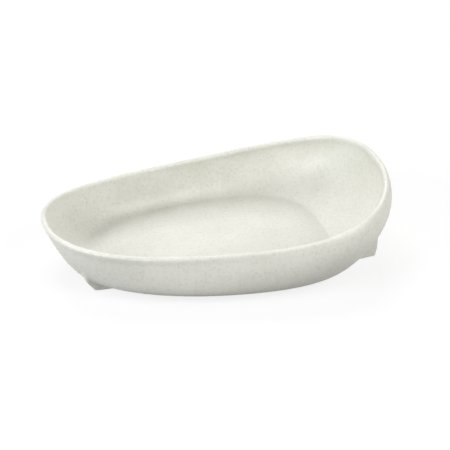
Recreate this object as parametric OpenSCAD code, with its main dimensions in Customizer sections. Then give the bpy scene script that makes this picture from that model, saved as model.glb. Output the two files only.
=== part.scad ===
// Scoop plate: an egg-shaped moulded dish with a low side for the spoon, a high end that curves
// back over the inside, and a foot under each end with rubber grip pads in its sole.
// +X runs from the low end to the high end, +Z is up, and the table is z = 0.

/* [Rim outline] */
// Length of the rim's crest line, from the low end to the high end
rim_length = 227; // [190:1:270]
// Width of the crest line halfway along
rim_width = 146; // [120:1:175]
// Share by which the outline widens from the middle towards the high end
outline_taper = 0.23; // [0.1:0.01:0.3]
// Share by which the outline fills out at both ends
outline_fill = 0.17; // [0.05:0.005:0.2]
// Squareness of the outline, where 2 is a plain oval
outline_power = 2.24; // [2:0.02:2.6]

/* [Rim height] */
// Mean height of the crest above the table
rim_level = 42.9; // [36:0.1:56]
// Rise of the crest at the high end, and its fall at the low end
rim_tilt = 9.4; // [5:0.1:12]
// Rise of both ends above the two sides
rim_saddle = 6; // [3:0.1:8]
// Steepening of the climb to the high end
rim_climb = 1.2; // [0:0.1:2]
// Levelling of the two sides
rim_levelling = 0.55; // [0:0.05:1.5]

/* [Wall] */
// Thickness of the wall and the floor
wall = 3.2; // [2.6:0.1:4]
// Width of the rounded rim bead
rim_thick = 3.8; // [3.4:0.1:5]
// Height of the flat belly above the table
belly_gap = 5; // [4.5:0.1:9]
// Distance from the crest in to the flat belly at the low end
inset_low = 21; // [16:0.5:28]
// Distance from the crest in to the flat belly at the sides
inset_side = 6.4; // [4:0.2:14]
// Distance from the crest in to the flat belly at the high end
inset_high = 30.7; // [22:0.1:36]
// Outward lean of the wall at the low end's rim, in degrees
lean_low = 20; // [0:1:35]
// Outward lean of the wall at the sides' rim, in degrees
lean_side = -10; // [-15:1:15]
// Outward lean of the wall at the high end's rim, in degrees
lean_high = -29; // [-35:1:0]
// Level run that rounds the heel between belly and wall
heel_run = 6.6; // [6:0.1:9]
// Extra level run that eases the inside from floor to wall
floor_run = 5; // [3:0.5:8]
// Share of the wall's height that follows the lean of the rim
lip_share = 0.43; // [0.35:0.01:0.5]

/* [Feet] */
// Half the width of a foot's sole at its toe, from the long axis to its square end
foot_spread = 32.5; // [28:0.5:36]
// Thickness of a foot's sole at its square ends
foot_thick = 15; // [13:0.5:18]
// Distance along the dish from the low end's crest to the toe corners of its foot
toe_in_low = 26; // [24:0.25:32]
// Distance along the dish from the high end's crest to the toe corners of its foot
toe_in_high = 9.25; // [7:0.25:14]
// Bow of the low foot's toe, out past its corners
toe_bow_low = 3; // [1:0.5:5]
// Bow of the high foot's toe, out past its corners
toe_bow_high = 4; // [1:0.5:6]
// Slope of the low foot's toe away from upright, in degrees
toe_slope_low = 40; // [25:1:46]
// Slope of the high foot's toe away from upright, in degrees
toe_slope_high = 12; // [5:1:25]
// Flare of the high foot's square ends towards its heel, in degrees
flare_high = 11; // [0:1:15]
// Height of the low foot's sloping toe, above which it runs straight up
toe_height_low = 8; // [6:0.5:11]
// Height of the high foot's sloping toe, above which it runs straight up
toe_height_high = 6.5; // [5:0.5:9]
// Draft of a foot's other sides, in degrees
foot_draft = 4; // [1:0.5:6]
// Radius of a foot's upright corners
foot_round = 1.5; // [0.8:0.1:2.5]
// Bevel round the edge of a foot's sole
sole_edge = 0.5; // [0.3:0.1:0.8]
// Width of the cored pocket in the middle of a foot's sole
pocket_width = 20; // [14:0.5:22]
// Thickness of a foot's wall at its pocket
pocket_wall = 3; // [2.5:0.1:4]

/* [Grip pads] */
// Diameter of a grip pad
pad_d = 10; // [8:0.5:11]
// Distance from a foot's square end to the middle of its pad
pad_in = 9.5; // [8:0.5:11]
// Height of a pad below the sole of its foot
pad_proud = 0.8; // [0.5:0.1:1.5]
// Depth of the recess that a pad sits in
pad_seat = 1.6; // [1:0.1:2.5]
// Clearance all round a pad in its recess
pad_clear = 0.15; // [0.1:0.05:0.3]
// Radius of a pad's lower edge
pad_edge = 0.4; // [0.2:0.1:0.6]

/* [Hidden] */

// Steps of the lofted surfaces: round the rim, up the wall and over the bead
stations = 96;
wall_steps = 16;
bead_steps = 8;
step = 360 / stations;
circle_steps = 24;

// Level of the wall's middle surface under the floor, and how far the bead stands proud of the wall
floor_mid = belly_gap + wall / 2;
bead_proud = (rim_thick - wall) / 2;
// Share of the wall over which the bead swells
bead_share = 0.12;
// The feet run up past the underside of the wall, which then trims them
foot_top = rim_level;
bow_steps = 4;
corner_steps = 4;
// How far a pocket's cut runs past the foot
overcut = 1;

LOW = -1;
HIGH = 1;
FRONT = -1;
BACK = 1;

dish_colour = "#dcdcd4";
pad_colour = "#4a4b4a";

// Plan of the rim: an oval of adjustable squareness, wider towards the high end

function signed_power(v, p) = sign(v) * pow(abs(v), p);
function crest_x(t) = rim_length / 2 * signed_power(cos(t), 2 / outline_power);
function along(t) = 2 * crest_x(t) / rim_length;
function widening(u) = 1 + outline_taper * u + outline_fill * u * u;
function crest_y(t) = rim_width / 2 * signed_power(sin(t), 2 / outline_power) * widening(along(t));
function crest_plan(t) = [crest_x(t), crest_y(t)];
function crest_z(t) = rim_level + rim_tilt * cos(t) + rim_saddle * cos(2 * t)
    + rim_climb * cos(3 * t) + rim_levelling * cos(4 * t);
function outward(t) = let (d = crest_plan(t + step) - crest_plan(t - step)) [d.y, -d.x] / norm(d);

// A value that passes through its settings for the low end, the sides and the high end
function blend(u, low, side, high) = side + (high - low) / 2 * u + ((high + low) / 2 - side) * u * u;

// Wall profile at one station, in [distance out from the crest, height]: a cubic curve from the
// level floor to the leaning rim

function wall_curve(t, run) = let (
    u = along(t),
    start = -blend(u, inset_low, inset_side, inset_high),
    top = crest_z(t) - rim_thick / 2,
    reach = lip_share * (top - floor_mid),
    lean = blend(u, tan(lean_low), tan(lean_side), tan(lean_high))
) [[start - run, floor_mid], [start + heel_run, floor_mid], [-lean * reach, top - reach], [0, top]];

function curve_point(c, s) = c[0] * pow(1 - s, 3) + 3 * c[1] * s * pow(1 - s, 2)
    + 3 * c[2] * s * s * (1 - s) + c[3] * pow(s, 3);
function curve_slope(c, s) = (c[1] - c[0]) * pow(1 - s, 2) + 2 * (c[2] - c[1]) * s * (1 - s)
    + (c[3] - c[2]) * s * s;
function unit(v) = v / norm(v);
function left_of(v) = [-v.y, v.x];
function inward(c, s) = left_of(unit(curve_slope(c, s)));

// Swelling of the bead near the rim, as a smooth step
function swell(s) = let (w = max(0, (s - 1 + bead_share) / bead_share)) bead_proud * w * w * (3 - 2 * w);
function half_wall(s) = wall / 2 + swell(s);

function outer_side(t) = let (c = wall_curve(t, 0))
    [for (i = [0 : wall_steps]) let (s = i / wall_steps)
        curve_point(c, s) - half_wall(s) * inward(c, s)];
function inner_side(t) = let (c = wall_curve(t, floor_run))
    [for (i = [wall_steps : -1 : 0]) let (s = i / wall_steps)
        curve_point(c, s) + half_wall(s) * inward(c, s)];
function bead(t) = let (c = wall_curve(t, 0), out = -inward(c, 1), up = unit(curve_slope(c, 1)))
    [for (i = [1 : bead_steps - 1]) let (a = 180 * i / bead_steps)
        c[3] + rim_thick / 2 * (cos(a) * out + sin(a) * up)];
function middle_side(t) = let (c = wall_curve(t, 0)) concat(
    [for (i = [0 : wall_steps]) curve_point(c, i / wall_steps)],
    [c[3] + [0, rim_level]]
);

// A profile stood on its station of the rim
function stand(t, profile) = let (p = crest_plan(t), n = outward(t))
    [for (q = profile) [p.x + q.x * n.x, p.y + q.x * n.y, q.y]];

// Triangles of a loft whose stations close round, with a fan at its first ring and one at its last
function loft_faces(rings) = let (first_hub = stations * rings, last_hub = first_hub + 1) [
    for (i = [0 : stations - 1]) let (a = i * rings, b = (i + 1) % stations * rings) each [
        [a, b, first_hub],
        [b + rings - 1, a + rings - 1, last_hub],
        for (j = [0 : rings - 2]) each [[a + j, a + j + 1, b + j + 1], [a + j, b + j + 1, b + j]],
    ],
];

shell_profiles = [for (i = [0 : stations - 1]) let (t = i * step)
    stand(t, concat(outer_side(t), bead(t), inner_side(t)))];
shell_points = [for (p = shell_profiles) each p];
core_profiles = [for (i = [0 : stations - 1]) let (t = i * step) stand(t, middle_side(t))];

// The origin is under the middle of the whole plate, so the loft moves back by half its lopsidedness
shell_x = [for (p = shell_points) p.x];
centre_x = (min(shell_x) + max(shell_x)) / 2;

// Fans meet halfway between the two ends of the flat belly
hub_x = (inset_low - inset_high) / 2;

module shell() {
    hubs = [[hub_x, 0, belly_gap], [hub_x, 0, belly_gap + wall]];
    polyhedron(concat(shell_points, hubs), loft_faces(len(shell_profiles[0])), convexity = 6);
}

// Everything inside the wall's middle surface and above the rim
module core() {
    hubs = [[hub_x, 0, floor_mid], [hub_x, 0, 2 * rim_level]];
    points = [for (p = core_profiles) each p];
    polyhedron(concat(points, hubs), loft_faces(len(core_profiles[0])), convexity = 4);
}

// Feet: each is a drafted block across one end, with a bowed toe that faces that end. Its outlines
// are drawn as [distance from the middle of the dish, y], and rings stand them at a height

function toe_in(end) = end == HIGH ? toe_in_high : toe_in_low;
function toe_bow(end) = end == HIGH ? toe_bow_high : toe_bow_low;
function toe_slope(end) = end == HIGH ? toe_slope_high : toe_slope_low;
function toe_height(end) = end == HIGH ? toe_height_high : toe_height_low;
function flare(end) = end == HIGH ? flare_high : 0;
function toe_reach(end, y) = rim_length / 2 - toe_in(end) + toe_bow(end) * (1 - pow(y / foot_spread, 2));
function heel_reach(end) = rim_length / 2 - toe_in(end) - foot_thick;

function corner(centre, from, to) = [for (i = [0 : corner_steps])
    let (a = from + (to - from) * i / corner_steps) centre + foot_round * [cos(a), sin(a)]];

// One side of an outline, from the middle of the toe to the heel corner: the bow, then two corners
function half_outline(end, half, push, back) = let (
    inner = half - foot_round,
    turn = atan(2 * toe_bow(end) * inner / pow(foot_spread, 2)),
    bow_end = inner + foot_round * sin(turn),
    toe_x = toe_reach(end, bow_end) + push - foot_round * cos(turn),
    heel_x = heel_reach(end) - back + foot_round,
    heel_y = inner + (toe_x - heel_x) * tan(flare(end)),
    facing = 90 - flare(end)
) concat(
    [for (i = [0 : bow_steps - 1]) let (y = bow_end * i / bow_steps) [toe_reach(end, y) + push, y]],
    corner([toe_x, inner], turn, facing),
    corner([heel_x, heel_y], facing, 180)
);

function ring(end, z, half, push, back) = let (side = half_outline(end, half, push, back)) concat(
    [for (q = side) [end * q.x, q.y, z]],
    [for (i = [len(side) - 1 : -1 : 1]) [end * side[i].x, -side[i].y, z]]
);

function toe_push(end, z) = min(z - pad_proud, toe_height(end)) * tan(toe_slope(end));
function foot_ring(end, z, trim) = let (grow = (z - pad_proud) * tan(foot_draft) - trim)
    ring(end, z, foot_spread + grow, toe_push(end, z) - trim, grow);
function pocket_ring(end, z) = ring(end, z, pocket_width / 2, toe_push(end, z) - pocket_wall, -pocket_wall);

// The solid between two rings
module block(low_ring, high_ring) {
    n = len(low_ring);
    base = [for (i = [0 : n - 1]) i];
    lid = [for (i = [n - 1 : -1 : 0]) n + i];
    sides = [for (i = base) let (j = (i + 1) % n) [i, n + i, n + j, j]];
    hull() polyhedron(concat(low_ring, high_ring), concat([base, lid], sides));
}

module foot(end) {
    knee = pad_proud + toe_height(end);
    edge = pad_proud + sole_edge;
    difference() {
        union() {
            block(foot_ring(end, pad_proud, sole_edge), foot_ring(end, edge, 0));
            block(foot_ring(end, edge, 0), foot_ring(end, knee, 0));
            block(foot_ring(end, knee, 0), foot_ring(end, foot_top, 0));
        }
        block(pocket_ring(end, pad_proud - overcut), pocket_ring(end, knee));
        block(pocket_ring(end, knee), pocket_ring(end, foot_top + overcut));
    }
}

function pad_centre(end, side) = let (y = side * (foot_spread - pad_in))
    [end * (toe_reach(end, y) + heel_reach(end)) / 2, y, 0];

module pad_recess(end, side) {
    translate(pad_centre(end, side))
        cylinder(d = pad_d + 2 * pad_clear, h = pad_proud + pad_seat, $fn = circle_steps);
}

module dish() {
    color(dish_colour) translate([-centre_x, 0, 0]) difference() {
        union() {
            shell();
            difference() {
                for (end = [LOW, HIGH]) foot(end);
                core();
            }
        }
        for (end = [LOW, HIGH]) for (side = [FRONT, BACK]) pad_recess(end, side);
    }
}

// A grip pad: a disc with a rounded lower edge that fills its recess to the roof
module grip_pad(end, side) {
    thick = pad_proud + pad_seat;
    centre = pad_centre(end, side) - [centre_x, 0, 0];
    color(pad_colour) translate(centre) rotate_extrude($fn = circle_steps) {
        square([pad_d / 2 - pad_edge, thick]);
        translate([0, pad_edge]) square([pad_d / 2, thick - pad_edge]);
        translate([pad_d / 2 - pad_edge, pad_edge]) intersection() {
            circle(r = pad_edge, $fn = circle_steps);
            translate([0, -pad_edge]) square(pad_edge);
        }
    }
}

dish();
grip_pad(LOW, FRONT);  // pad_low_front
grip_pad(LOW, BACK);  // pad_low_back
grip_pad(HIGH, FRONT);  // pad_high_front
grip_pad(HIGH, BACK);  // pad_high_back
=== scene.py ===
"""Looks of a scoop plate: a speckled moulded dish on two end feet, with four rubber grip pads.

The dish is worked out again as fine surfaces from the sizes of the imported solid. Sizes and surfaces are in
millimetres, and a finished mesh is in metres.
"""

import logging
import math
from dataclasses import dataclass, field
from enum import Enum
from typing import Any, Union

import bpy
import numpy as np
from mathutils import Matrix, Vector


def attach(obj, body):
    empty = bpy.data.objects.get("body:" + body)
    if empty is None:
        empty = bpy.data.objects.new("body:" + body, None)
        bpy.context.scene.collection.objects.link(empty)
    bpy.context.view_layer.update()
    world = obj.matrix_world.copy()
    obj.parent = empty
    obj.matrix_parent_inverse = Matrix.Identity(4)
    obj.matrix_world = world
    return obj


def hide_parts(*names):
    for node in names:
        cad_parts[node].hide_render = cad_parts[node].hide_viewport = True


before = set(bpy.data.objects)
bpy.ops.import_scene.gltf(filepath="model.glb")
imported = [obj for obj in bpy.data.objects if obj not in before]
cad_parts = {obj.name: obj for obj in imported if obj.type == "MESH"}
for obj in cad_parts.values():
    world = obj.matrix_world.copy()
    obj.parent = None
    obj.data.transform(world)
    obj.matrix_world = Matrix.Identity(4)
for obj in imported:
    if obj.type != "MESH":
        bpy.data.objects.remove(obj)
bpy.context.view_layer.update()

Array = np.ndarray
Colour = tuple[float, float, float]
LOG = logging.getLogger("scoop_plate")
MM = 0.001
# A hair's breadth less than full size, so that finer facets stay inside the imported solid's box
HAIR = 0.9998
WHITE: Colour = (1.0, 1.0, 1.0)


class End(Enum):
    """The two ends of the plate, with their sign along X."""

    LOW = -1
    HIGH = 1


class Side(Enum):
    """The two long sides of the plate, with their sign along Y."""

    FRONT = -1
    BACK = 1


class Cut(Enum):
    """How one solid works on another."""

    JOIN = "UNION"
    TAKE = "DIFFERENCE"


class Stretch(Enum):
    """The stretches of half a foot's outline, from the middle of its toe to the middle of its heel."""

    BOW = 0
    TOE_CORNER = 1
    SQUARE_END = 2
    HEEL_CORNER = 3
    HEEL = 4


# Shader maths


class Value:
    """A number on its way through a shader, whose arithmetic adds Math nodes."""

    def __init__(self, graph: "Graph", socket: bpy.types.NodeSocket) -> None:
        """Keeps the graph and the output socket that gives the number."""
        self.graph = graph
        self.socket = socket

    def math(self, operation: str, first: "Number", second: "Number" = 0.0) -> "Value":
        """One Math node.

        Args:
            operation: the node's operation.
            first: its first number or link.
            second: its second number or link.

        Returns:
            The node's result.
        """
        return self.graph.node("ShaderNodeMath", {"operation": operation}, {0: first, 1: second})

    def other(self, name: str) -> "Value":
        """Another output of the same node."""
        return Value(self.graph, self.socket.node.outputs[name])

    def __add__(self, that: "Number") -> "Value":
        """Sum."""
        return self.math("ADD", self, that)

    def __radd__(self, that: "Number") -> "Value":
        """Sum, from the right."""
        return self.math("ADD", that, self)

    def __sub__(self, that: "Number") -> "Value":
        """Difference."""
        return self.math("SUBTRACT", self, that)

    def __rsub__(self, that: "Number") -> "Value":
        """Difference, from the right."""
        return self.math("SUBTRACT", that, self)

    def __mul__(self, that: "Number") -> "Value":
        """Product."""
        return self.math("MULTIPLY", self, that)

    def __rmul__(self, that: "Number") -> "Value":
        """Product, from the right."""
        return self.math("MULTIPLY", that, self)

    def __gt__(self, that: "Number") -> "Value":
        """One where this is the larger, and zero elsewhere."""
        return self.math("GREATER_THAN", self, that)

    def larger(self, that: "Number") -> "Value":
        """The larger of two numbers."""
        return self.math("MAXIMUM", self, that)


Number = Union[Value, float]


class Graph:
    """The node tree of one material or of the world."""

    def __init__(self, tree: bpy.types.NodeTree) -> None:
        """Empties the tree."""
        self.tree = tree
        tree.nodes.clear()

    def node(
        self, kind: str, settings: dict[str, Any], sockets: dict[Any, Any], output: Union[int, str] = 0
    ) -> Value:
        """Adds a node.

        Args:
            kind: the node's type.
            settings: its properties, which are set first.
            sockets: values or links by the name or number of the input.
            output: name or number of the output that is wanted.

        Returns:
            That output.
        """
        made = self.tree.nodes.new(kind)
        for name, setting in settings.items():
            setattr(made, name, setting)
        for name, value in sockets.items():
            if isinstance(value, Value):
                self.tree.links.new(value.socket, made.inputs[name])
            else:
                made.inputs[name].default_value = value
        return Value(self, made.outputs[output] if made.outputs else None)

    def place(self) -> Value:
        """Object coordinates, in metres."""
        return self.node("ShaderNodeTexCoord", {}, {}, "Object")

    def noise(self, place: Value, size: float, detail: float, roughness: float = 0.5) -> Value:
        """Noise from zero to one.

        Args:
            place: coordinates in metres.
            size: size of its blotches in millimetres.
            detail: number of finer layers.
            roughness: weight of the finer layers.

        Returns:
            The noise.
        """
        sockets = {"Vector": place, "Scale": 1 / (size * MM), "Detail": detail, "Roughness": roughness}
        return self.node("ShaderNodeTexNoise", {}, sockets, "Fac")

    def smooth(self, value: Value, low: float, high: float) -> Value:
        """A smooth step from zero at low to one at high, where low may be the larger."""
        settings = {"interpolation_type": "SMOOTHSTEP"}
        return self.node("ShaderNodeMapRange", settings, {"Value": value, "From Min": low, "From Max": high})

    def mix(self, share: Number, first: Any, second: Any) -> Value:
        """A mix of two colours.

        Args:
            share: share of the second.
            first: a colour or link.
            second: a colour or link.

        Returns:
            The mixed colour.
        """
        settings = {"data_type": "RGBA", "clamp_factor": True}
        return self.node("ShaderNodeMix", settings, {0: share, 6: first, 7: second}, 2)

    def bump(self, height: Value, strength: float, depth: float) -> Value:
        """A bumpy normal.

        Args:
            height: height of the surface from zero to one.
            strength: share of the bumps that shows.
            depth: height of the bumps in millimetres.

        Returns:
            The normal.
        """
        sockets = {"Strength": strength, "Distance": depth * MM, "Height": height}
        return self.node("ShaderNodeBump", {}, sockets, "Normal")

    def seen(self) -> Value:
        """One on rays that show the surroundings: those of the camera, of gloss and of glass."""
        path = self.node("ShaderNodeLightPath", {}, {}, "Is Camera Ray")
        return path.larger(path.other("Is Glossy Ray")).larger(path.other("Is Transmission Ray"))

    def surface(self, shader: Value) -> None:
        """Makes a shader the material's surface."""
        self.node("ShaderNodeOutputMaterial", {}, {"Surface": shader})


def opaque(colour: Colour) -> tuple[float, float, float, float]:
    """A colour with full alpha."""
    return (*colour, 1.0)


def new_material(name: str) -> tuple[bpy.types.Material, Graph]:
    """Makes a material with no nodes yet.

    Args:
        name: its name.

    Returns:
        The material and its graph.
    """
    made = bpy.data.materials.new(name)
    made.use_nodes = True
    return made, Graph(made.node_tree)


# Finishes


@dataclass(frozen=True)
class Specks:
    """One kind of specks. Its spacing is in millimetres, and its radius is a share of the spacing."""

    colour: Colour
    spacing: float
    share: float
    radius: float
    strength: float
    raggedness: float = 1.6
    core: float = 0.3

    def mask(self, graph: Graph, place: Value) -> Value:
        """Where the specks are: a ragged ball round the point of each Voronoi cell of the chosen share.

        Args:
            graph: the material's nodes.
            place: coordinates in metres.

        Returns:
            One in a speck, and zero between specks.
        """
        sockets = {"Vector": place, "Scale": 1 / (self.spacing * MM), "Randomness": 1.0}
        cells = graph.node("ShaderNodeTexVoronoi", {"feature": "F1"}, sockets, "Distance")
        chance = graph.node("ShaderNodeSeparateColor", {}, {0: cells.other("Color")}, "Red")
        wobble = graph.noise(place, self.spacing * self.radius, detail=2.0) - 0.5
        ragged = cells + wobble * (self.radius * self.raggedness)
        ball = graph.smooth(ragged, self.radius, self.radius * self.core)
        return ball * (chance > 1 - self.share)


@dataclass(frozen=True)
class SpeckledPlastic:
    """Satin off-white moulding with fine grey-brown specks set in it. Sizes are in millimetres."""

    colour: Colour = (0.614, 0.612, 0.56)
    shade: Colour = (0.566, 0.563, 0.506)
    cloud_size: float = 24.0
    mottle_size: float = 2.1
    cloud_edges: tuple[float, float] = (0.38, 0.62)
    pale: Specks = Specks((0.37, 0.35, 0.29), spacing=2.7, share=0.55, radius=0.42, strength=0.24)
    dark: Specks = Specks((0.17, 0.145, 0.11), spacing=4.2, share=0.45, radius=0.19, strength=0.17)
    roughness: float = 0.45
    gloss_size: float = 5.0
    gloss_spread: float = 0.12
    speck_dulling: float = 0.05
    refraction: float = 1.49
    grain_size: float = 0.9
    grain_depth: float = 0.05
    grain_strength: float = 0.22

    def material(self) -> bpy.types.Material:
        """Makes the material.

        Returns:
            Clouded base colour with two kinds of specks, broken gloss and a fine moulded grain.
        """
        made, graph = new_material("speckled_plastic")
        place = graph.place()
        clouds = graph.noise(place, self.cloud_size, detail=3.0)
        mottle = graph.noise(place, self.mottle_size, detail=2.0)
        patches = graph.smooth((clouds + mottle) * 0.5, *self.cloud_edges)
        colour = graph.mix(patches, opaque(self.colour), opaque(self.shade))
        pale, dark = self.pale.mask(graph, place), self.dark.mask(graph, place)
        colour = graph.mix(pale * self.pale.strength, colour, opaque(self.pale.colour))
        colour = graph.mix(dark * self.dark.strength, colour, opaque(self.dark.colour))
        gloss = (graph.noise(place, self.gloss_size, detail=2.0) - 0.5) * self.gloss_spread
        grain = graph.noise(place, self.grain_size, detail=3.0, roughness=0.6)
        sockets = {
            "Base Color": colour,
            "Roughness": self.roughness + gloss + pale * self.speck_dulling,
            "Normal": graph.bump(grain, self.grain_strength, self.grain_depth),
            "IOR": self.refraction,
        }
        graph.surface(graph.node("ShaderNodeBsdfPrincipled", {}, sockets))
        return made


@dataclass(frozen=True)
class GripRubber:
    """Matte dark grey rubber with a dusty bloom. Sizes are in millimetres."""

    colour: Colour = (0.045, 0.046, 0.045)
    bloom: Colour = (0.105, 0.103, 0.097)
    bloom_size: float = 3.0
    bloom_edges: tuple[float, float] = (0.42, 0.72)
    bloom_dulling: float = 0.14
    roughness: float = 0.72
    pebble_size: float = 0.32
    pebble_blend: float = 0.6
    pebble_depth: float = 0.05
    pebble_strength: float = 0.5

    def material(self) -> bpy.types.Material:
        """Makes the material.

        Returns:
            Dark rubber with pale patches of bloom and a pebbled skin.
        """
        made, graph = new_material("grip_rubber")
        place = graph.place()
        bloom = graph.noise(place, self.bloom_size, detail=4.0, roughness=0.65)
        patches = graph.smooth(bloom, *self.bloom_edges)
        cells = {"Vector": place, "Scale": 1 / (self.pebble_size * MM), "Smoothness": self.pebble_blend}
        pebbles = graph.node("ShaderNodeTexVoronoi", {"feature": "SMOOTH_F1"}, cells, "Distance")
        sockets = {
            "Base Color": graph.mix(patches, opaque(self.colour), opaque(self.bloom)),
            "Roughness": self.roughness + patches * self.bloom_dulling,
            "Normal": graph.bump(pebbles, self.pebble_strength, self.pebble_depth),
        }
        graph.surface(graph.node("ShaderNodeBsdfPrincipled", {}, sockets))
        return made


@dataclass(frozen=True)
class PaleFloor:
    """Plain studio floor that looks white, keeps a soft shadow and throws little light back."""

    colour: Colour = (0.9, 0.9, 0.9)
    thrown: Colour = (0.15, 0.15, 0.15)
    whitening: float = 0.8

    def material(self) -> bpy.types.Material:
        """Makes the material.

        Returns:
            A matte floor that is partly plain white where it is looked at, and clear from below.
        """
        made, graph = new_material("pale_floor")
        seen = graph.seen()
        colour = graph.mix(seen, opaque(self.thrown), opaque(self.colour))
        matte = graph.node("ShaderNodeBsdfDiffuse", {}, {"Color": colour})
        white = graph.node("ShaderNodeEmission", {}, {"Color": opaque(WHITE), "Strength": 1.0})
        top = graph.node("ShaderNodeMixShader", {}, {0: seen * self.whitening, 1: matte, 2: white})
        below = graph.node("ShaderNodeNewGeometry", {}, {}, "Backfacing")
        clear = graph.node("ShaderNodeBsdfTransparent", {}, {})
        graph.surface(graph.node("ShaderNodeMixShader", {}, {0: below, 1: top, 2: clear}))
        return made


# Meshes


@dataclass
class Surface:
    """A surface of polygons, in millimetres if it is a piece of the plate."""

    points: Array
    faces: list[Array]

    @classmethod
    def loft(cls, rings: Array, first_pole: Array, last_pole: Array) -> "Surface":
        """Quads between closed rings, and a fan of triangles to a pole at each end.

        Args:
            rings: points of shape (rings, stations, 3), anticlockwise seen from the last pole.
            first_pole: point that closes the first ring.
            last_pole: point that closes the last ring.

        Returns:
            The closed surface, with its faces outwards.
        """
        count, stations = rings.shape[:2]
        index = np.arange(count * stations).reshape(count, stations)
        ahead = np.roll(index, -1, axis=1)
        quads = np.stack((index[:-1], ahead[:-1], ahead[1:], index[1:]), axis=-1).reshape(-1, 4)
        first = np.full(stations, count * stations)
        fans = (
            np.stack((ahead[0], index[0], first), axis=-1),
            np.stack((index[-1], ahead[-1], first + 1), axis=-1),
        )
        points = np.concatenate((rings.reshape(-1, 3), [first_pole], [last_pole]))
        return cls(points, [quads, *fans])

    def object(self, name: str) -> bpy.types.Object:
        """Puts the surface into the scene in its own unit.

        Args:
            name: name of the object and of its mesh.

        Returns:
            The object.
        """
        mesh = bpy.data.meshes.new(name)
        mesh.from_pydata(self.points.tolist(), [], [face for block in self.faces for face in block.tolist()])
        made = bpy.data.objects.new(name, mesh)
        bpy.context.scene.collection.objects.link(made)
        return made


def work(base: bpy.types.Object, tools: list[bpy.types.Object], cut: Cut) -> bpy.types.Object:
    """Joins solids to another or takes them from it, and removes them.

    Args:
        base: the solid that is kept.
        tools: the solids that work on it.
        cut: what they do to it.

    Returns:
        The base with its new mesh.
    """
    for tool in tools:
        modifier = base.modifiers.new(cut.name, "BOOLEAN")
        modifier.operation = cut.value
        modifier.solver = "MANIFOLD"
        modifier.object = tool
    depsgraph = bpy.context.evaluated_depsgraph_get()
    worked = bpy.data.meshes.new_from_object(base.evaluated_get(depsgraph))
    worked.name = base.data.name + "_worked"
    base.modifiers.clear()
    used = [base.data, *(tool.data for tool in tools)]
    base.data = worked
    for tool in tools:
        bpy.data.objects.remove(tool)
    for mesh in used:
        bpy.data.meshes.remove(mesh)
    return base


def finish_piece(
    piece: bpy.types.Object, node: str, material: bpy.types.Material, crease: float
) -> bpy.types.Object:
    """Brings a piece to metres, smooths its shading, dresses it and ties it to the frame.

    Args:
        piece: the piece, in millimetres.
        node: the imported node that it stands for.
        material: its material.
        crease: angle in degrees past which an edge stays sharp.

    Returns:
        The piece.
    """
    mesh = piece.data
    place = np.empty(len(mesh.vertices) * 3)
    mesh.vertices.foreach_get("co", place)
    mesh.vertices.foreach_set("co", place * (MM * HAIR))
    mesh.materials.clear()
    mesh.materials.append(material)
    mesh.shade_smooth()
    mesh.set_sharp_from_angle(angle=math.radians(crease))
    mesh.update()
    sides = np.empty(len(mesh.loops), dtype=np.int64)
    mesh.loops.foreach_get("edge_index", sides)
    loose = int((np.bincount(sides, minlength=len(mesh.edges)) != 2).sum())
    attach(piece, "root")
    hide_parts(node)
    LOG.info("%s: %d faces, %d open edges, stands for %s", piece.name, len(mesh.polygons), loose, node)
    return piece


# The dish


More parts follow.
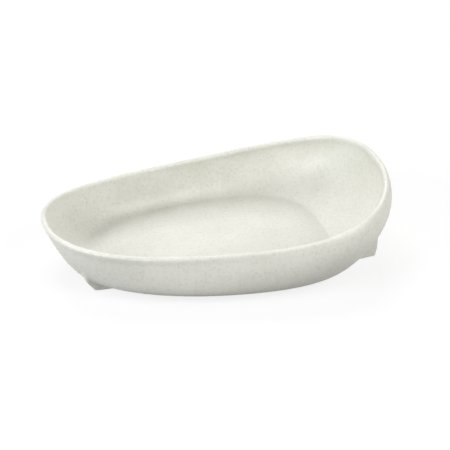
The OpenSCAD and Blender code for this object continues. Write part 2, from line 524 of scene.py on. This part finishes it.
@dataclass(frozen=True)
class Shell:
    """The dish's wall and floor: an egg-shaped loft of one wall profile round the rim.

    A station t runs round the rim in radians, from the high end. A share s runs up the wall's middle line.
    The insets of the floor's edge from the crest, and the wall's outward leans under the rim in degrees, are
    those of the low end, the sides and the high end.
    """

    rim_length: float = 227.0
    rim_width: float = 146.0
    outline_taper: float = 0.23
    outline_fill: float = 0.17
    outline_power: float = 2.24
    rim_level: float = 42.9
    rim_tilt: float = 9.4
    rim_saddle: float = 6.0
    rim_climb: float = 1.2
    rim_levelling: float = 0.55
    wall: float = 3.2
    rim_thick: float = 3.8
    belly_gap: float = 5.0
    insets: tuple[float, float, float] = (21.0, 6.4, 30.7)
    leans: tuple[float, float, float] = (20.0, -10.0, -29.0)
    heel_run: float = 6.6
    floor_run: float = 5.0
    lip_share: float = 0.43
    bead_share: float = 0.12
    chord: float = math.tau / 96
    stations: int = 288
    wall_steps: int = 48
    bead_steps: int = 14
    floor_rings: int = 14
    search_stations: int = 720
    search_steps: int = 8
    search_turn: float = 0.05
    search_nudge: float = 1e-4
    wall_trials: int = 64
    halvings: int = 40
    belly_margin: float = 4.0

    @property
    def floor_mid(self) -> float:
        """Level of the middle of the floor's thickness."""
        return self.belly_gap + self.wall / 2

    @property
    def centre_x(self) -> float:
        """Middle of the loft along X, which lies over the origin of the plate.

        Returns:
            Half the sum of the least and the greatest x at the two ends.
        """
        t = np.array([[0.0], [math.pi]])
        ends = self.stand(t, np.concatenate((self.outer(t, self.shares()), self.bead(t)), axis=1))
        return float(ends[..., 0].min() + ends[..., 0].max()) / 2

    def shares(self) -> Array:
        """Shares of the wall at which its rings stand."""
        return np.linspace(0.0, 1.0, self.wall_steps + 1)[None, :]

    def plan(self, t: Array) -> Array:
        """The crest seen from above: an oval with squarish shoulders that widens towards the high end.

        x = a * cos(t) to the power 2/p, and y = b * sin(t) to the power 2/p, times 1 + taper*u + fill*u*u,
        where u is x as a share of a.

        Args:
            t: stations.

        Returns:
            Points with a last axis of x and y.
        """
        power = 2 / self.outline_power
        u = np.sign(np.cos(t)) * np.abs(np.cos(t)) ** power
        v = np.sign(np.sin(t)) * np.abs(np.sin(t)) ** power
        widening = 1 + self.outline_taper * u + self.outline_fill * u * u
        return np.stack((self.rim_length / 2 * u, self.rim_width / 2 * v * widening), axis=-1)

    def outward(self, t: Array) -> Array:
        """Level direction out from the crest, square to the chord between its neighbours.

        Args:
            t: stations.

        Returns:
            Unit vectors with a last axis of x and y.
        """
        chord = self.plan(t + self.chord) - self.plan(t - self.chord)
        chord /= np.linalg.norm(chord, axis=-1, keepdims=True)
        return np.stack((chord[..., 1], -chord[..., 0]), axis=-1)

    def crest_height(self, t: Array) -> Array:
        """Height of the crest: a sum of four cosines that makes a saddle with one end higher."""
        waves = (self.rim_tilt, self.rim_saddle, self.rim_climb, self.rim_levelling)
        return self.rim_level + sum(wave * np.cos((k + 1) * t) for k, wave in enumerate(waves))

    def blend(self, t: Array, values: tuple[float, float, float]) -> Array:
        """The parabola along the plate through three values.

        Args:
            t: stations.
            values: values for the low end, the sides and the high end.

        Returns:
            The parabola's values.
        """
        low, side, high = values
        u = 2 * self.plan(t)[..., 0] / self.rim_length
        return side + (high - low) / 2 * u + ((high + low) / 2 - side) * u * u

    def controls(self, t: Array, run: float) -> tuple[Array, Array, Array, Array]:
        """Control points of the wall's middle line, in distance out from the crest and height.

        Args:
            t: stations.
            run: extra level run at the floor.

        Returns:
            The floor's edge, the end of its level run, a point under the rim along the lean, and the rim.
        """
        start = -self.blend(t, self.insets)
        top = self.crest_height(t) - self.rim_thick / 2
        reach = self.lip_share * (top - self.floor_mid)
        lean = self.blend(t, tuple(math.tan(math.radians(angle)) for angle in self.leans))
        level = np.full_like(start, self.floor_mid)
        pairs = (
            (start - run, level),
            (start + self.heel_run, level),
            (-lean * reach, top - reach),
            (np.zeros_like(top), top),
        )
        return tuple(np.stack(pair, axis=-1) for pair in pairs)

    def middle(self, t: Array, s: Array, run: float) -> tuple[Array, Array]:
        """The wall's middle line, a cubic curve of its four control points, and its inward normal.

        Args:
            t: stations, of a shape that spreads over that of s.
            s: shares of the wall.
            run: extra level run at the floor.

        Returns:
            Points and unit normals, each with a last axis of distance out and height.
        """
        c0, c1, c2, c3 = self.controls(t, run)
        s = s[..., None]
        w = 1 - s
        point = c0 * w**3 + 3 * c1 * s * w**2 + 3 * c2 * s**2 * w + c3 * s**3
        slope = (c1 - c0) * w**2 + 2 * (c2 - c1) * s * w + (c3 - c2) * s**2
        slope /= np.linalg.norm(slope, axis=-1, keepdims=True)
        return point, np.stack((-slope[..., 1], slope[..., 0]), axis=-1)

    def half_wall(self, s: Array) -> Array:
        """Half the wall's thickness, which swells to the bead by a smooth step near the rim."""
        w = np.maximum(0.0, (s - 1 + self.bead_share) / self.bead_share)
        return (self.wall + (self.rim_thick - self.wall) * w * w * (3 - 2 * w)) / 2

    def outer(self, t: Array, s: Array) -> Array:
        """The wall's outer line: half its thickness out from the middle line."""
        point, inward = self.middle(t, s, 0.0)
        return point - self.half_wall(s)[..., None] * inward

    def inner(self, t: Array, s: Array) -> Array:
        """The wall's inner line: half its thickness in from a middle line that leaves the floor sooner."""
        point, inward = self.middle(t, s, self.floor_run)
        return point + self.half_wall(s)[..., None] * inward

    def bead(self, t: Array) -> Array:
        """The rim's bead: half a circle about the top of the middle line.

        Args:
            t: stations.

        Returns:
            Points from outside to inside, with a last axis of distance out and height.
        """
        turn = np.linspace(0.0, math.pi, self.bead_steps + 1)[None, 1:-1, None]
        point, inward = self.middle(t, np.ones((1, 1)), 0.0)
        up = np.stack((inward[..., 1], -inward[..., 0]), axis=-1)
        return point + self.rim_thick / 2 * (np.sin(turn) * up - np.cos(turn) * inward)

    def stand(self, t: Array, profile: Array) -> Array:
        """Profiles stood on their stations: plan plus distance times outward, at the profile's height."""
        flat = self.plan(t) + profile[..., :1] * self.outward(t)
        return np.concatenate((flat, profile[..., 1:]), axis=-1)

    def surface(self) -> Surface:
        """The whole shell as one loft from the middle of the belly, over the rim, to the middle of the floor.

        Returns:
            The closed surface.
        """
        t = np.arange(self.stations)[:, None] * math.tau / self.stations
        s = self.shares()
        profile = np.concatenate((self.outer(t, s), self.bead(t), self.inner(t, s[:, ::-1])), axis=1)
        rings = self.stand(t, profile).transpose(1, 0, 2)
        middle = (self.insets[0] - self.insets[2]) / 2
        poles = np.array([[middle, 0.0, self.belly_gap], [middle, 0.0, self.belly_gap + self.wall]])
        share = (np.arange(1, self.floor_rings) / self.floor_rings)[:, None, None]
        belly = poles[0] + (rings[0] - poles[0]) * share
        floor = poles[1] + (rings[-1] - poles[1]) * share[::-1]
        shift = np.array([self.centre_x, 0.0, 0.0])
        whole = np.concatenate((belly, rings, floor)) - shift
        return Surface.loft(whole, poles[0] - shift, poles[1] - shift)

    def underside(self, flat: Array) -> Array:
        """Height of the dish's outer surface over points of the plan.

        Newton's steps find the station t and the distance r with plan(t) + r * outward(t) at the point.
        Halving then finds the share s below the wall's widest place with that distance out. A point inside
        the edge of the belly is at the belly's height.

        Args:
            flat: points with a last axis of x and y, in the frame of the plate.

        Returns:
            Heights.
        """
        point = flat.reshape(-1, 2) + (self.centre_x, 0.0)
        table = np.linspace(0.0, math.tau, self.search_stations, endpoint=False)
        apart = point[:, None, :] - self.plan(table)
        t = table[np.argmin((apart**2).sum(axis=-1), axis=1)]
        r = ((point - self.plan(t)) * self.outward(t)).sum(axis=-1)
        deep = -r > self.blend(t, self.insets) + self.belly_margin
        nudge = self.search_nudge
        for _ in range(self.search_steps):
            ahead = self.plan(t + nudge) + r[:, None] * self.outward(t + nudge)
            behind = self.plan(t - nudge) + r[:, None] * self.outward(t - nudge)
            along = (ahead - behind) / (2 * nudge)
            out = self.outward(t)
            miss = self.plan(t) + r[:, None] * out - point
            spread = along[:, 0] * out[:, 1] - along[:, 1] * out[:, 0]
            turn = (miss[:, 0] * out[:, 1] - miss[:, 1] * out[:, 0]) / spread
            t = t - np.clip(turn, -self.search_turn, self.search_turn)
            r = ((point - self.plan(t)) * self.outward(t)).sum(axis=-1)
        trial = np.linspace(0.0, 1.0, self.wall_trials + 1)[None, :]
        widest = trial[0][np.argmax(self.outer(t[:, None], trial)[..., 0], axis=1)]
        low, high = np.zeros_like(t), widest
        for _ in range(self.halvings):
            half = (low + high) / 2
            short = self.outer(t, half)[..., 0] < r
            low, high = np.where(short, half, low), np.where(short, high, half)
        height = self.outer(t, low)[..., 1]
        flat_edge = self.outer(t, np.zeros_like(t))[..., 0]
        height = np.where(deep | (r < flat_edge), self.belly_gap, height)
        return height.reshape(flat.shape[:-1])


@dataclass(frozen=True)
class Foot:
    """A drafted block across one end of the belly, with a bowed toe, a cored pocket and two pad recesses.

    The spread is half the sole's width at the toe. Slopes, flare and draft are in degrees, and the steps are
    the points on each stretch of half the outline.
    """

    end: End
    shell: Shell
    toe_in: float
    toe_bow: float
    toe_slope: float
    toe_height: float
    flare: float = 0.0
    spread: float = 32.5
    thick: float = 15.0
    draft: float = 4.0
    corner: float = 1.5
    knee: float = 1.4
    sole: float = 0.8
    sole_edge: float = 0.5
    least_side: float = 0.2
    fillet: float = 1.8
    fillet_growth: float = 0.0
    landing_depth: float = 0.12
    root: float = 1.2
    pocket_width: float = 20.0
    pocket_wall: float = 3.0
    mouth_edge: float = 0.4
    overcut: float = 1.0
    pad_in: float = 9.5
    recess_radius: float = 5.15
    recess_roof: float = 2.4
    steps: tuple[int, int, int, int, int] = (24, 8, 12, 8, 24)
    edge_steps: int = 5
    side_steps: int = 8
    lid_steps: int = 5
    mouth_steps: int = 4
    halvings: int = 30

    def stretches(self) -> tuple[Array, Array, Array]:
        """How the outline's points lie on its stretches.

        Returns:
            For each point anticlockwise from the middle of the toe: the number of its stretch, its share
            of that stretch, and its sign along Y.
        """
        kinds = np.concatenate([np.full(n, kind.value) for kind, n in zip(Stretch, self.steps)])
        share = np.concatenate([np.arange(n) / n for n in self.steps])
        kinds, share = np.append(kinds, Stretch.HEEL.value), np.append(share, 1.0)
        sign = np.ones_like(share)
        back = slice(-2, 0, -1)
        return (
            np.concatenate((kinds, kinds[back])),
            np.concatenate((share, share[back])),
            np.concatenate((sign, -sign[back])),
        )

    def toe_reach(self, y: Array) -> Array:
        """Distance of the toe from the middle of the plate: a parabola across the plate."""
        return self.shell.rim_length / 2 - self.toe_in + self.toe_bow * (1 - (y / self.spread) ** 2)

    @property
    def heel_reach(self) -> float:
        """Distance of the heel from the middle of the plate."""
        return self.shell.rim_length / 2 - self.toe_in - self.thick

    def outline(self, half: Array, push: Array, back: Array) -> tuple[Array, Array]:
        """An outline of the foot.

        It has a bowed toe, a round corner, an end that may flare towards the heel, a round corner and a
        straight heel, and is mirrored across the plate's long axis.

        Args:
            half: half the outline's width at the toe, of a shape that spreads over the outline's points.
            push: how far the toe moves out.
            back: how far the heel moves in.

        Returns:
            Points of the plan, and level unit normals that point out of the outline.
        """
        kind, share, sign = self.stretches()
        half, push, back = np.broadcast_arrays(half, push, back, np.zeros_like(share))[:3]
        inner = half - self.corner
        turn = np.arctan(2 * self.toe_bow * inner / self.spread**2)
        bow_end = inner + self.corner * np.sin(turn)
        toe = self.toe_reach(bow_end) + push - self.corner * np.cos(turn)
        heel = self.heel_reach - back + self.corner
        heel_y = inner + (toe - heel) * math.tan(math.radians(self.flare))
        bow_y = share * bow_end
        bow_turn = np.arctan(2 * self.toe_bow * bow_y / self.spread**2)
        square = np.full_like(half, math.radians(90 - self.flare))
        toe_turn = turn + (square - turn) * share
        heel_turn = square + (math.pi - square) * share
        angle = np.choose(kind, (bow_turn, toe_turn, square, heel_turn, np.full_like(half, math.pi)))
        out_x, out_y = self.corner * np.cos(angle), self.corner * np.sin(angle)
        x = np.choose(
            kind,
            (
                self.toe_reach(bow_y) + push,
                toe + out_x,
                toe + (heel - toe) * share + out_x,
                heel + out_x,
                heel + out_x,
            ),
        )
        y = np.choose(
            kind,
            (
                bow_y,
                inner + out_y,
                inner + (heel_y - inner) * share + out_y,
                heel_y + out_y,
                heel_y * (1 - share),
            ),
        )
        facing = self.end.value
        point = np.stack((facing * x - self.shell.centre_x, sign * y), axis=-1)
        normal = np.stack((facing * np.cos(angle), sign * np.sin(angle)), axis=-1)
        return point, normal

    def toe_push(self, z: Array) -> Array:
        """How far the toe slopes out: evenly up to the knee, then no more, softly joined.

        Half of a + b - sqrt((a - b)**2 + k**2) is a soft minimum of the rise a and the toe's height b.

        Args:
            z: heights.

        Returns:
            Distances out.
        """
        rise = z - self.sole
        bent = (rise + self.toe_height - np.sqrt((rise - self.toe_height) ** 2 + self.knee**2)) / 2
        return bent * math.tan(math.radians(self.toe_slope))

    def side(self, z: Array, trim: Union[Array, float] = 0.0) -> tuple[Array, Array]:
        """The foot's outline at a height, drawn in by a trim."""
        grow = (z - self.sole) * math.tan(math.radians(self.draft)) - trim
        return self.outline(self.spread + grow, self.toe_push(z) - trim, grow)

    def join_height(self) -> Array:
        """Finds by halving where the foot's sides meet the dish.

        Returns:
            The height at each point of the outline.
        """
        points = len(self.stretches()[0])
        low, high = np.full(points, self.sole), np.full(points, self.shell.rim_level)
        for _ in range(self.halvings):
            half = (low + high) / 2
            under = self.shell.underside(self.side(half)[0]) > half
            low, high = np.where(under, half, low), np.where(under, high, half)
        return low

    def stacked(self, flat: Array, z: Array) -> Array:
        """Points of the plan at their heights."""
        return np.concatenate((flat, np.broadcast_to(z, flat.shape[:-1])[..., None]), axis=-1)

    def closed(self, rings: Array, first: float, last: float) -> Surface:
        """Rings of the foot as a solid.

        Args:
            rings: rings from the lowest up.
            first: height of the pole that closes the lowest ring.
            last: height of the pole that closes the highest ring.

        Returns:
            The closed surface, with its faces outwards at either end of the plate.
        """
        if self.end is End.LOW:
            rings = rings[:, ::-1]
        middle = (rings[0].min(axis=0) + rings[0].max(axis=0)) / 2
        return Surface.loft(rings, np.array([*middle[:2], first]), np.array([*middle[:2], last]))

    def body(self) -> Surface:
        """The block: a rounded sole edge, drafted sides, and a fillet that runs out on the dish.

        The edge is a quarter circle. The fillet is a parabola from the side to the dish with its control
        point where they meet, and may grow with the height of that point. The top follows the dish's
        surface inside its wall.

        Returns:
            The closed surface.
        """
        arc = np.linspace(0.0, math.pi / 2, self.edge_steps + 1)[:, None]
        edge_z = self.sole + self.sole_edge * (1 - np.cos(arc))
        edge = self.stacked(self.side(edge_z, self.sole_edge * (1 - np.sin(arc)))[0], edge_z)
        join = self.join_height()
        base = self.sole + self.sole_edge
        growth = 1 + self.fillet_growth * (join - self.shell.belly_gap)
        start = np.maximum(join - self.fillet * growth**2, base + self.least_side * (join - base))
        share = np.linspace(0.0, 1.0, self.side_steps + 1)[1:, None]
        side_z = base + (start - base) * share
        side = self.stacked(self.side(side_z)[0], side_z)
        meet, facing = self.side(join)
        meeting = self.stacked(meet, join)
        landing = meet + self.fillet * growth[:, None] * facing
        landed = self.stacked(landing, self.shell.underside(landing) + self.landing_depth)
        w = share[..., None]
        fillet = side[-1] * (1 - w) ** 2 + 2 * meeting * w * (1 - w) + landed * w**2
        middle = (meet.min(axis=0) + meet.max(axis=0)) / 2
        shrink = (np.arange(self.lid_steps, 0, -1) / self.lid_steps)[:, None, None]
        lid = middle + (meet - middle) * shrink
        top = self.stacked(lid, self.shell.underside(lid) + self.root)
        last = float(self.shell.underside(middle[None])[0]) + self.root
        return self.closed(np.concatenate((edge, side, fillet, top)), self.sole, last)

    def pocket(self) -> Surface:
        """The cored pocket: the outline let in by the foot's wall, with a quarter circle round its mouth.

        Returns:
            The closed surface of the room to be taken out.
        """
        arc = np.linspace(0.0, math.pi / 2, self.mouth_steps + 1)[:, None]
        grow = np.concatenate(([[self.mouth_edge]], self.mouth_edge * (1 - np.sin(arc)), [[0.0], [0.0]]))
        mouth = self.sole + self.mouth_edge * (1 - np.cos(arc))
        knee = self.sole + self.toe_height
        z = np.concatenate(([[self.sole - self.overcut]], mouth, [[knee], [self.shell.rim_level]]))
        half = self.pocket_width / 2 + grow
        flat = self.outline(half, self.toe_push(z) - self.pocket_wall + grow, grow - self.pocket_wall)[0]
        return self.closed(self.stacked(flat, z), float(z[0, 0]), float(z[-1, 0]))

    def pad_centre(self, side: Side) -> Array:
        """Where a pad stands on the table: halfway between toe and heel.

        Args:
            side: the pad's side of the plate.

        Returns:
            The point under the pad's middle.
        """
        y = side.value * (self.spread - self.pad_in)
        reach = (float(self.toe_reach(np.array(y))) + self.heel_reach) / 2
        return np.array([self.end.value * reach - self.shell.centre_x, y, 0.0])

    def recess(self, side: Side) -> Surface:
        """The round recess for a pad, with a quarter circle round its mouth.

        Args:
            side: the pad's side of the plate.

        Returns:
            The closed surface of the room to be taken out.
        """
        arc = np.linspace(0.0, math.pi / 2, self.mouth_steps + 1)
        radius = self.recess_radius + self.mouth_edge * (1 - np.sin(arc))
        z = self.sole + self.mouth_edge * (1 - np.cos(arc))
        radius = np.concatenate(([radius[0]], radius, [self.recess_radius]))
        z = np.concatenate(([self.sole - self.overcut], z, [self.recess_roof]))
        return turned(radius, z, self.pad_centre(side))


def turned(radius: Array, z: Array, centre: Array, stations: int = 72) -> Surface:
    """A profile turned about an upright axis.

    Args:
        radius: distances from the axis, from the profile's low end to its high end.
        z: heights.
        centre: a point that the profile starts from.
        stations: points round the axis.

    Returns:
        The closed surface.
    """
    t = np.arange(stations) * math.tau / stations
    rings = np.stack(
        np.broadcast_arrays(radius[:, None] * np.cos(t), radius[:, None] * np.sin(t), z[:, None]), axis=-1
    )
    up = np.array([0.0, 0.0, 1.0])
    return Surface.loft(rings + centre, centre + z[0] * up, centre + z[-1] * up)


@dataclass
class Dish:
    """The moulding: the shell and its two feet in one piece."""

    shell: Shell = field(default_factory=Shell)
    finish: SpeckledPlastic = field(default_factory=SpeckledPlastic)
    crease: float = 38.0

    def __post_init__(self) -> None:
        """Sets a foot under each end."""
        self.feet = (
            Foot(
                End.LOW,
                self.shell,
                toe_in=26.0,
                toe_bow=3.0,
                toe_slope=40.0,
                toe_height=8.0,
                fillet_growth=0.09,
            ),
            Foot(
                End.HIGH,
                self.shell,
                toe_in=9.25,
                toe_bow=4.0,
                toe_slope=12.0,
                toe_height=6.5,
                flare=11.0,
            ),
        )

    def foot(self, foot: Foot) -> bpy.types.Object:
        """Makes one foot with its pocket and recesses taken out.

        Args:
            foot: the foot's shape.

        Returns:
            The foot's solid.
        """
        name = f"foot_{foot.end.name.lower()}"
        tools = [foot.pocket().object(name + "_pocket")]
        tools += [foot.recess(side).object(f"{name}_recess_{side.name.lower()}") for side in Side]
        return work(foot.body().object(name), tools, Cut.TAKE)

    def build(self) -> bpy.types.Object:
        """Makes the piece.

        Returns:
            The dressed dish.
        """
        piece = self.shell.surface().object("dish_moulding")
        work(piece, [self.foot(foot) for foot in self.feet], Cut.JOIN)
        return finish_piece(piece, "dish", self.finish.material(), self.crease)


# The grip pads


@dataclass
class GripPads:
    """The four rubber discs in the soles of the feet."""

    dish: Dish
    radius: float = 5.0
    thick: float = 2.4
    edge: float = 0.4
    top_edge: float = 0.15
    groove_depth: float = 0.28
    grooves: tuple[float, ...] = (1.5, 2.9)
    groove_width: float = 0.35
    eye: float = 0.2
    face_rings: int = 60
    edge_steps: int = 6
    finish: GripRubber = field(default_factory=GripRubber)
    crease: float = 50.0

    def profile(self) -> tuple[Array, Array]:
        """The disc's profile from the middle of its face to the middle of its top.

        The face is level but for ring grooves, each a bell of the distance from its circle. Its edge is a
        quarter circle, and the top's edge a small one.

        Returns:
            Radii and heights.
        """
        face = np.linspace(self.eye, self.radius - self.edge, self.face_rings)
        bells = np.exp(-(((face[:, None] - np.array(self.grooves)) / self.groove_width) ** 4))
        arc = np.linspace(0.0, math.pi / 2, self.edge_steps + 1)[1:]
        radius = np.concatenate(
            (
                face,
                self.radius - self.edge * (1 - np.sin(arc)),
                self.radius - self.top_edge * (1 - np.cos(arc)),
                [self.radius / 2],
            )
        )
        z = np.concatenate(
            (
                self.groove_depth * bells.sum(axis=1),
                self.edge * (1 - np.cos(arc)),
                self.thick - self.top_edge * (1 - np.sin(arc)),
                [self.thick],
            )
        )
        return radius, z

    def build(self) -> list[bpy.types.Object]:
        """Makes the pieces.

        Returns:
            The dressed pads.
        """
        material = self.finish.material()
        radius, z = self.profile()
        made = []
        for foot in self.dish.feet:
            for side in Side:
                node = f"pad_{foot.end.name}_{side.name}".lower()
                pad = turned(radius, z, foot.pad_centre(side)).object("grip_" + node)
                made.append(finish_piece(pad, node, material, self.crease))
        return made


# The studio


@dataclass
class Lamp:
    """A soft square lamp that faces the plate."""

    name: str
    place: tuple[float, float, float]
    size: float
    power: float
    colour: Colour = WHITE


@dataclass
class Studio:
    """A white floor, soft lamps and the camera, in metres. The lamps and the camera face the target."""

    floor_half: float = 4.0
    floor_drop: float = 0.00005
    target: tuple[float, float, float] = (-0.00109, 0.0, 0.0429)
    azimuth: float = -14.456
    elevation: float = 25.927
    distance: float = 1.0
    lens: float = 120.0
    sensor: float = 36.0
    clip: tuple[float, float] = (0.05, 20.0)
    shift: tuple[float, float] = (0.02488, -0.0640)
    sky: float = 0.02
    lamps: tuple[Lamp, ...] = (
        Lamp("back_lamp", (0.0, 1.0, 1.25), 1.1, 20.5),
        Lamp("left_lamp", (-1.2, -0.4, 0.5), 0.8, 19.5, (0.97, 0.985, 1.0)),
        Lamp("front_lamp", (0.9, -1.0, 0.9), 0.9, 17.0, (1.0, 0.995, 0.985)),
        Lamp("low_right_lamp", (1.2, -0.9, 0.3), 0.5, 6.5, (1.0, 0.995, 0.985)),
        Lamp("low_left_lamp", (-0.8, -1.2, 0.25), 0.6, 3.4, (0.97, 0.985, 1.0)),
    )
    floor_finish: PaleFloor = field(default_factory=PaleFloor)

    def floor(self) -> bpy.types.Object:
        """Makes the floor, a square just under the plate's feet.

        Returns:
            The floor.
        """
        corners = np.array([(-1.0, -1.0), (1.0, -1.0), (1.0, 1.0), (-1.0, 1.0)]) * self.floor_half
        level = np.full((4, 1), -self.floor_drop)
        floor = Surface(np.hstack((corners, level)), [np.arange(4)[None]]).object("studio_floor")
        floor.data.materials.append(self.floor_finish.material())
        return floor

    def light(self) -> None:
        """An even sky, white where it is looked at, and the lamps."""
        world = bpy.data.worlds.new("studio_sky")
        world.use_nodes = True
        bpy.context.scene.world = world
        graph = Graph(world.node_tree)
        strength = self.sky + graph.seen() * (1 - self.sky)
        sky = graph.node("ShaderNodeBackground", {}, {"Color": opaque(WHITE), "Strength": strength})
        graph.node("ShaderNodeOutputWorld", {}, {"Surface": sky})
        for lamp in self.lamps:
            data = bpy.data.lights.new(lamp.name, "AREA")
            data.shape, data.size = "SQUARE", lamp.size
            data.energy, data.color = lamp.power, lamp.colour
            made = bpy.data.objects.new(lamp.name, data)
            made.location = lamp.place
            away = Vector(lamp.place) - Vector(self.target)
            made.rotation_euler = (-away).to_track_quat("-Z", "Y").to_euler()
            bpy.context.scene.collection.objects.link(made)

    def camera(self) -> bpy.types.Object:
        """The camera at the photograph's angle.

        Returns:
            The scene's camera.
        """
        a, e = math.radians(self.azimuth), math.radians(self.elevation)
        back = Vector((math.sin(a) * math.cos(e), -math.cos(a) * math.cos(e), math.sin(e)))
        data = bpy.data.cameras.new("photo_camera")
        data.lens, data.sensor_width = self.lens, self.sensor
        data.shift_x, data.shift_y = self.shift
        data.clip_start, data.clip_end = self.clip
        made = bpy.data.objects.new("photo_camera", data)
        made.location = Vector(self.target) + back * self.distance
        made.rotation_euler = (-back).to_track_quat("-Z", "Y").to_euler()
        bpy.context.scene.collection.objects.link(made)
        bpy.context.scene.camera = made
        return made

    def build(self) -> None:
        """Sets the scene round the plate."""
        bpy.context.scene.view_settings.view_transform = "Standard"
        self.floor()
        self.light()
        self.camera()


def main() -> None:
    """Builds the studio, the dish and its pads."""
    logging.basicConfig(level=logging.INFO, format="%(name)s: %(message)s")
    Studio().build()
    dish = Dish()
    dish.build()
    GripPads(dish).build()
    bpy.context.view_layer.update()


if __name__ == "__main__":
    main()
